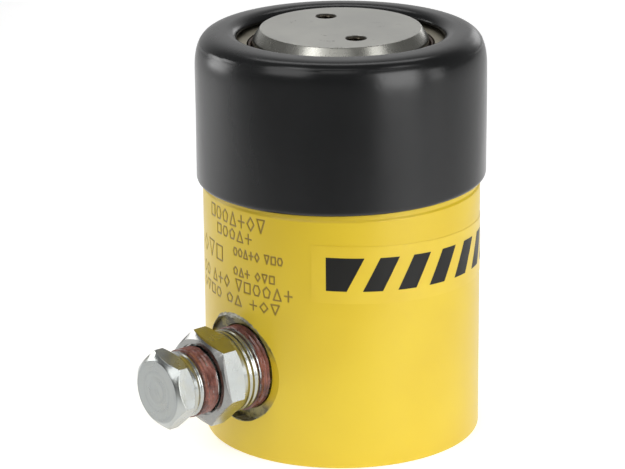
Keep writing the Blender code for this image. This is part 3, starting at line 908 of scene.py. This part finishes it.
# ---- plunger, gland and wiper
PLUNGER_R = 18.0
HEAD_R = 21.0
HEAD_LOW = 39.6
HEAD_HIGH = 46.0
BAND_LOW = 40.6  # groove of the bearing band
BAND_HIGH = 44.9
STEM_R = 16.2  # carries the seal and its rings, below the head
HOLLOW_R = 12.5
ROOF_Z = 74.0
FACE_HOLE_RADIUS = 9.53
FACE_HOLE_ANGLE = math.radians(-22)
FACE_HOLES = [polar(FACE_HOLE_RADIUS, FACE_HOLE_ANGLE + turn) for turn in (0, math.pi)]
FACE_HOLE_R = 2.05


def face_hole_cutter(x, y):
    """A #10-24 threaded hole with a small countersink."""
    mouth = FACE_HOLE_R + 0.25
    low, high = RAM_TOP - 6.2, RAM_TOP - 0.3
    outline = [(0, RAM_TOP + 1), (mouth, RAM_TOP + 1), (mouth, RAM_TOP)]
    outline += run((FACE_HOLE_R, high), (FACE_HOLE_R, low), 0.15)
    outline += [(0, RAM_TOP - 6.9)]
    return lathe(outline, 48, thread_at(FACE_HOLE_R, low, high, 25.4 / 24, 0.42, 0.2), moved(x, y))


def make_plunger():
    fine = 0.2
    tiny = 0.1
    piece = lathe([
        (0, RAM_TOP), (16.4, RAM_TOP, 0.22), (PLUNGER_R, RAM_TOP - 2.3, 0.3),
        (PLUNGER_R, HEAD_HIGH, fine), (HEAD_R, HEAD_HIGH, fine), (HEAD_R, BAND_HIGH, fine),
        (19.6, BAND_HIGH, fine), (19.6, BAND_LOW, fine), (HEAD_R, BAND_LOW, fine),
        (HEAD_R, HEAD_LOW, fine), (STEM_R, HEAD_LOW, fine), (STEM_R, 31.4, tiny),
        (15.3, 31.4, tiny), (15.3, 30.0, tiny), (STEM_R, 30.0, tiny), (15.9, 29.3, tiny),
        (HOLLOW_R, 29.3, fine), (HOLLOW_R, ROOF_Z, 0.5), (5.0, ROOF_Z, fine), (5.0, 79.0, fine),
        (0, 79.6)], 192)
    combine(piece, joined([face_hole_cutter(x, y) for x, y in FACE_HOLES]))
    x, y, z = coordinates(piece.data)
    away = np.minimum(*(np.hypot(x - hole_x, y - hole_y) for hole_x, hole_y in FACE_HOLES))
    # marks the insides of the threaded holes, which get a painted shade
    add_layer(piece.data, "hole", (away < 2.2) & (z < RAM_TOP - 0.2) & (z > 78))
    face_weighted(piece)
    stand_for(piece, "plunger", "ram", "ground_steel")


def make_gland():
    fine = 0.15
    low, high, outer = GLAND_LOW.z, GLAND_HIGH.z, GLAND_HIGH.x
    bore_r = 18.8
    wiper_r = 20.6
    piece = lathe([
        (19.1, high, fine), (21.0, high), (outer, high, EDGE), (outer, low, EDGE),
        (bore_r, low, fine), (bore_r, 73.3, fine), (19.9, 73.3, fine), (19.9, 77.7, fine),
        (bore_r, 77.7, fine), (bore_r, 78.4, fine), (wiper_r, 78.4, fine), (wiper_r, 80.9, fine),
        (19.1, 80.9, fine)], 160)
    hole_r = 1.2
    hole_circle_r = 22.8
    spanner_hole = [(0, high + 1), (hole_r, high + 1), (hole_r, high - 2.6), (0, high - 3.0)]
    holes = []
    for angle in math.pi / 4 + even_angles(4):
        holes.append(lathe(spanner_hole, 32, None, moved(*polar(hole_circle_r, angle))))
    combine(piece, joined(holes))
    face_weighted(piece)
    stand_for(piece, "gland_nut", "barrel", "plated_gland")

    lip_r = PLUNGER_R + 0.35
    wiper = [(bore_r, high, 0.12), (bore_r, 80.6, fine), (20.3, 80.6, fine), (20.3, 78.7, fine),
             (bore_r, 78.7, fine), (lip_r, 79.6, fine), (lip_r, high - 0.2, 0.1)]
    stand_for(lathe(wiper), "rod_wiper", "barrel", "urethane")


# ---- port fittings
HEX_TURN = math.radians(15.4)
HEX_SMOOTH = 22  # degrees; chamfers stay crisp
HEX_BREAK = 12  # degrees; edges sharper than this are broken
HEX_EDGE = 0.10
NPT_TAPER = 1 / 32


def threaded(low, high, crest, depth, runout):
    """Outline rows of a tapered thread and the function that cuts it, for rows at its crest."""
    foot = crest - (high - low) * NPT_TAPER

    def shape(theta, radius, height):
        cut = thread_cut(theta, height, low, high, PIPE_PITCH, depth, runout)
        inside = (height > low) & (height < high) & (radius > foot - 0.02)
        return radius - np.where(inside & (radius < crest + 0.02), cut, 0), height

    return run((crest, high), (foot, low), PIPE_PITCH / 12), shape


def hexagon_fitting(flats, face, head, shank, shape):
    """A turned head cut to a hexagon, with its threaded shank."""
    piece = lathe(head, 144, None, PORT_FRAME)
    corners = math.pi / 2 + HEX_TURN + even_angles(6)
    combine(piece, pin(flats / math.sqrt(3), face - 8, face + 2, PORT_FRAME, corners), "INTERSECT")
    bevel = piece.modifiers.new("bevel", "BEVEL")
    bevel.width = HEX_EDGE * MM
    bevel.segments = 2
    bevel.limit_method = "ANGLE"
    bevel.angle_limit = math.radians(HEX_BREAK)
    bake(piece, HEX_SMOOTH)
    combine(piece, lathe(shank, 160, shape, PORT_FRAME), "UNION", HEX_SMOOTH)
    face_weighted(piece)
    return piece


def make_bushing():
    flats = 17.46
    corner = flats / math.sqrt(3) + 0.1
    face, end = BUSHING_FACE, BUSHING_END
    back = face - 4.9
    crest = 8.57
    bore = 6.9
    head = [(7.35, face), (8.25, face, 0.1), (corner, face - 1.05), (corner, back + 0.9),
            (9.0, back), (7.35, back)]
    rows, outer_thread = threaded(end + 1, back - 0.9, crest, 0.21, 1.1)
    inner_thread = thread_at(bore, 30, face - 0.8, PIPE_PITCH, -0.45, 0.4)
    shank = [(7.5, face - 0.5), (crest, face - 0.6), (crest, back - 0.05)] + rows
    shank += [(7.7, end + 0.3), (7.4, end), (5.0, end), (5.0, 29.5), (bore, 29.5)]
    shank += run((bore, 30), (bore, face - 0.6), PIPE_PITCH / 6)

    def shape(theta, radius, height):
        return inner_thread(theta, *outer_thread(theta, radius, height))

    piece = hexagon_fitting(flats, face, head, shank, shape)
    stand_for(piece, "port_bushing", "barrel", "zinc_plate")


def make_plug():
    flats = 14.29
    corner = flats / math.sqrt(3) + 0.1
    face, end = PLUG_FACE, -PLUG_HIGH.y
    ring = 0.04  # turning marks on the face
    crest = 6.84
    head = [(0, face - ring), (1.7, face - ring), (2.0, face), (2.9, face), (3.15, face - ring),
            (3.4, face), (6.35, face), (corner, face - 1.5), (corner, face - 3.3),
            (6.95, face - 4.5, 0.1), (0, face - 4.5)]
    rows, shape = threaded(end + 0.8, face - 5.3, crest, 0.24, 0.8)
    shank = [(0, face - 4.2), (6.8, face - 4.2), (crest, face - 4.8)] + rows
    shank += [(6.0, end + 0.2), (5.7, end), (0, end)]
    piece = hexagon_fitting(flats, face, head, shank, shape)
    stand_for(piece, "port_plug", "plug", "zinc_plate")


def make_sealant_band(node, body, outer, seed):
    """Cured paste squeezed over a thread: the ridges still show, and both edges are uneven."""
    near, far = box_mm(node)
    low, high = -far.y, 0.2 - near.y
    inner = outer - 0.8
    outline = [(inner, high), (outer, high)]
    outline += run((outer, high - 0.4), (outer, low + 0.4), 0.12)
    outline += [(outer, low), (inner, low)]
    middle = (low + high) / 2

    def shape(theta, radius, height):
        ridge = thread_cut(theta, height, low, high, PIPE_PITCH * 0.75, 0.34, 0.3)
        paste = 0.05 * np.sin(7 * theta + seed) + 0.04 * np.sin(13 * theta + 2 * seed)
        paste = paste + 0.03 * np.sin(29 * theta + height * 4.2)
        skin = radius > outer - 0.6
        radius = radius - np.where(skin, ridge + 0.06 + paste * 0.5, 0)
        edge = 0.12 * np.sin(5 * theta + seed) + 0.08 * np.sin(11 * theta + 1)
        share = (height - middle) / (high - middle)
        return radius, height - np.abs(edge) * share

    stand_for(lathe(outline, 160, shape, PORT_FRAME), node, body, "thread_sealant")


# ---- pieces inside
RINGS = [
    # node, inner radius, rounding, body, slot
    ("gland_bearing", 18.3, 0.25, "barrel", "nylon"),
    ("piston_bearing", 19.9, 0.3, "ram", "nylon"),
    ("piston_backup_ring", 16.5, 0.2, "ram", "nylon"),
    ("seal_retaining_washer", 16.5, 0.15, "ram", "dark_steel"),
    ("anchor_copper_washer", 3.4, 0.15, "barrel", "copper"),
]


def make_rings():
    for node, inner, edge, body, slot in RINGS:
        low, high = box_mm(node)
        outline = [(high.x, high.z, edge), (high.x, low.z, edge), (inner, low.z, edge),
                   (inner, high.z, edge)]
        stand_for(lathe(outline), node, body, slot)


def make_u_cup():
    low, high = box_mm("piston_u_cup")
    outer = high.x
    inner = 16.5
    groove_z = low.z + 2.4
    outline = [(outer - 0.4, high.z, 0.25), (outer, low.z + 0.4, 0.2), (outer - 0.8, low.z, 0.2),
               (19.3, groove_z, 0.4), (18.3, groove_z, 0.4), (inner + 0.8, low.z, 0.2),
               (inner, low.z + 0.4, 0.2), (inner + 0.2, high.z, 0.25)]
    stand_for(lathe(outline), "piston_u_cup", "ram", "urethane")


def make_snap_ring():
    low, high = box_mm("piston_snap_ring")
    outer, inner, edge = 18.2, 15.6, 0.15
    ring = lathe([(outer, high.z, edge), (outer, low.z, edge), (inner, low.z, edge),
                  (inner, high.z, edge)])
    tools = []
    # the gap, and the two holes that pliers grip
    for x, y, radius in ((0, 16.8, 2.4), (-4.2, 16.4, 0.6), (4.2, 16.4, 0.6)):
        tools.append(pin(radius, low.z - 1, high.z + 1, moved(x, y)))
    combine(ring, joined(tools))
    stand_for(ring, "piston_snap_ring", "ram", "dark_steel")


def make_return_spring():
    """Closely wound extension spring, made at the length of its box between the barrel and the ram."""
    wire_r = 1.5 * MM
    coil_r = 9.5 * MM
    turns = 9
    foot, top = (corner.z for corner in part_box("return_spring"))
    low, high = foot + wire_r, top - wire_r
    curve = bpy.data.curves.new("spring", "CURVE")
    curve.dimensions = "3D"
    curve.bevel_depth = wire_r
    curve.bevel_resolution = 5
    curve.use_fill_caps = True
    count = turns * 40
    wire = curve.splines.new("POLY")
    wire.points.add(count)
    for index, point in enumerate(wire.points):
        share = index / count
        angle = TAU * turns * share
        point.co = (*polar(coil_r, angle), low + (high - low) * share, 1)
    shaped = linked("spring_curve", curve)
    view = bpy.context.evaluated_depsgraph_get()
    spring = add_object(bpy.data.meshes.new_from_object(shaped.evaluated_get(view)))
    bpy.data.objects.remove(shaped)
    dress(spring, "return_spring_look", MATERIALS["spring_steel"])
    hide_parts("return_spring")
    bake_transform(spring)


def make_anchors():
    """Two spools that hold the spring's end coils, one in the plunger's roof, one on the base."""
    stem_r, flange_r = 7.5, 11.9
    top = box_mm("upper_spring_anchor")[1].z
    flange_low = 71.8
    flange_high = 73.7
    foot = 64.5
    upper = [(0, top), (4.7, top, 0.5), (4.7, flange_high, 0.1), (flange_r, flange_high, EDGE),
             (flange_r, flange_low, EDGE), (stem_r, flange_low, 0.2), (stem_r, foot, 0.8), (0, foot)]
    stand_for(lathe(upper), "upper_spring_anchor", "ram", "dark_steel")
    low, high = box_mm("lower_spring_anchor")
    flange_high = 31.2
    lower = [(stem_r, high.z, 0.8), (stem_r, flange_high, 0.2), (flange_r, flange_high, EDGE),
             (flange_r, low.z, EDGE), (SCREW_HOLE_R, low.z, EDGE), (SCREW_HOLE_R, high.z, EDGE)]
    stand_for(lathe(lower), "lower_spring_anchor", "barrel", "dark_steel")


def make_anchor_screw():
    low, high = box_mm("anchor_screw")
    crest, head_r, pitch = 3.0, 5.0, 1.0
    head_top = low.z + 5.5
    start = head_top + 6
    outline = [(0, high.z), (crest - 0.5, high.z), (crest, high.z - 0.5)]
    outline += run((crest, high.z - 0.6), (crest, start), pitch / 6)
    outline += [(crest, start - 0.1), (crest, head_top, 0.3), (head_r, head_top, 0.2),
                (head_r, low.z, 0.5), (0, low.z)]
    screw = lathe(outline, 72, thread_at(crest, start, high.z - 0.6, pitch, 0.5, 0.5))
    socket_r = 2.9
    combine(screw, pin(socket_r, low.z - 1, low.z + 2.8, None, 6))
    face_weighted(screw)
    stand_for(screw, "anchor_screw", "barrel", "dark_steel")


def make_base_plug():
    low, high = box_mm("base_seal_plug")
    sunk = 0.02
    groove_z = 0.35
    outline = [(0, high.z), (high.x, high.z, 0.5), (high.x, low.z + sunk, 0.3), (5.2, sunk, 0.1),
               (5.0, groove_z, 0.1), (4.6, groove_z, 0.1), (4.4, sunk, 0.1), (0, sunk)]
    stand_for(lathe(outline), "base_seal_plug", "barrel", "black_plastic")


# ---- stage, in metres
FLOOR_COLOUR = (0.82, 0.82, 0.82)
# painted glow: emission strengths of the floor behind, beside and in front of the part
FLOOR_PAINTED_GLOW = 0.58
FLOOR_PAINTED_GLOW_FRONT = 0.05  # in front of the part
FLOOR_PAINTED_GLOW_SIDE = 0.30
STUDIO_SWEEP = 0.65  # brightness low behind the part
STUDIO_DIM = 0.20
MIDDLE_Z = 0.045  # what the lights look at
LIGHTS = [
    # name, azimuth and elevation in degrees, distance, size, radiance
    ("key_right", 43, 12, 0.27, (0.15, 0.165), 4.4),
    ("high_right", 59, 48, 0.70, (0.18, 0.18), 2.6),
    ("side_right", 76, 7, 0.42, (0.10, 0.15), 2.0),
    ("back_right", 157, 10, 0.90, (0.30, 0.20), 1.3),
    ("back_high", 180, 64, 0.90, (0.90, 0.22), 2.2),
    ("high_left", -50, 52, 0.70, (0.17, 0.22), 3.6),
    ("low_left", -110, 9, 0.35, (0.15, 0.11), 4.0),
    ("left_front", -46, 26, 1.00, (0.60, 0.45), 1.9),
    ("front_fill", -14, 46, 1.00, (0.70, 0.45), 0.9),
]


def make_floor():
    """A pale sheet with a painted glow (emission) that lights the part, weaker at its sides, and painted
    shade towards the viewer: darker colour and little glow in front of the part.
    """
    bpy.ops.mesh.primitive_plane_add(size=8, location=(0, 0, -0.05 * MM))
    floor = bpy.context.object
    floor.name = "floor"
    paint = Paint("pale_floor", FLOOR_COLOUR, 0.6, Emission_Color=(1, 1, 1, 1))
    ahead = paint.along(towards(-10, 0))
    aside = paint.maths("ABSOLUTE", paint.along(towards(90, 0)))
    in_front = paint.ramp(ahead, 0.06, 0.16)
    painted_glow = paint.ramp(aside, 0.09, 0.17, FLOOR_PAINTED_GLOW, FLOOR_PAINTED_GLOW_SIDE)
    painted_glow = paint.blend(in_front, painted_glow, FLOOR_PAINTED_GLOW_FRONT)
    # painted shade: the floor's colour is darker in front of the part
    colour = paint.mix(in_front, FLOOR_COLOUR, (0.40, 0.40, 0.40))
    floor.data.materials.append(paint.use(Base_Color=colour, Emission_Strength=painted_glow))


def towards(azimuth, elevation):
    """Unit vector out from the part; azimuth is counted to the right of the viewer."""
    around = VIEW_ANGLE + math.radians(azimuth)
    rise = math.radians(elevation)
    return Vector((math.sin(around) * math.cos(rise), -math.cos(around) * math.cos(rise),
                   math.sin(rise)))


def make_light(name, azimuth, elevation, distance, size, radiance):
    """A soft box that looks at the part."""
    light = bpy.data.lights.new(name, "AREA")
    light.shape = "RECTANGLE"
    light.size, light.size_y = size
    light.energy = radiance * math.pi * size[0] * size[1]
    obj = linked(name, light)
    back = towards(azimuth, elevation)
    obj.location = Vector((0, 0, MIDDLE_Z)) + back * distance
    obj.rotation_euler = back.to_track_quat("Z", "Y").to_euler()


def make_world():
    """A dim studio with a bright sweep low behind the part."""
    world = bpy.data.worlds.new("studio")
    world.use_nodes = True
    tree = world.node_tree
    place = tree.nodes.new("ShaderNodeTexCoord")
    facing = tree.nodes.new("ShaderNodeVectorMath")
    facing.operation = "DOT_PRODUCT"
    facing.inputs[1].default_value = towards(180, 0)
    spread = tree.nodes.new("ShaderNodeMapRange")
    for label, value in (("From Min", 0.60), ("From Max", 0.97),
                         ("To Min", STUDIO_DIM), ("To Max", STUDIO_SWEEP)):
        spread.inputs[label].default_value = value
    tree.links.new(place.outputs["Generated"], facing.inputs[0])
    tree.links.new(facing.outputs["Value"], spread.inputs["Value"])
    tree.links.new(spread.outputs["Result"], tree.nodes["Background"].inputs["Strength"])
    tree.nodes["Background"].inputs["Color"].default_value = (1, 1, 1, 1)
    bpy.context.scene.world = world
    bpy.context.scene.view_settings.view_transform = "Standard"


make_camera()
make_floor()
make_world()
for light in LIGHTS:
    make_light(*light)
make_barrel()
make_decal()
make_protector()
make_plunger()
make_gland()
make_bushing()
make_plug()
make_sealant_band("bushing_sealant", "barrel", 8.8, 0.4)
make_sealant_band("plug_sealant", "plug_band", 7.1, 1.7)
make_rings()
make_u_cup()
make_snap_ring()
make_return_spring()
make_anchors()
make_anchor_screw()
make_base_plug()
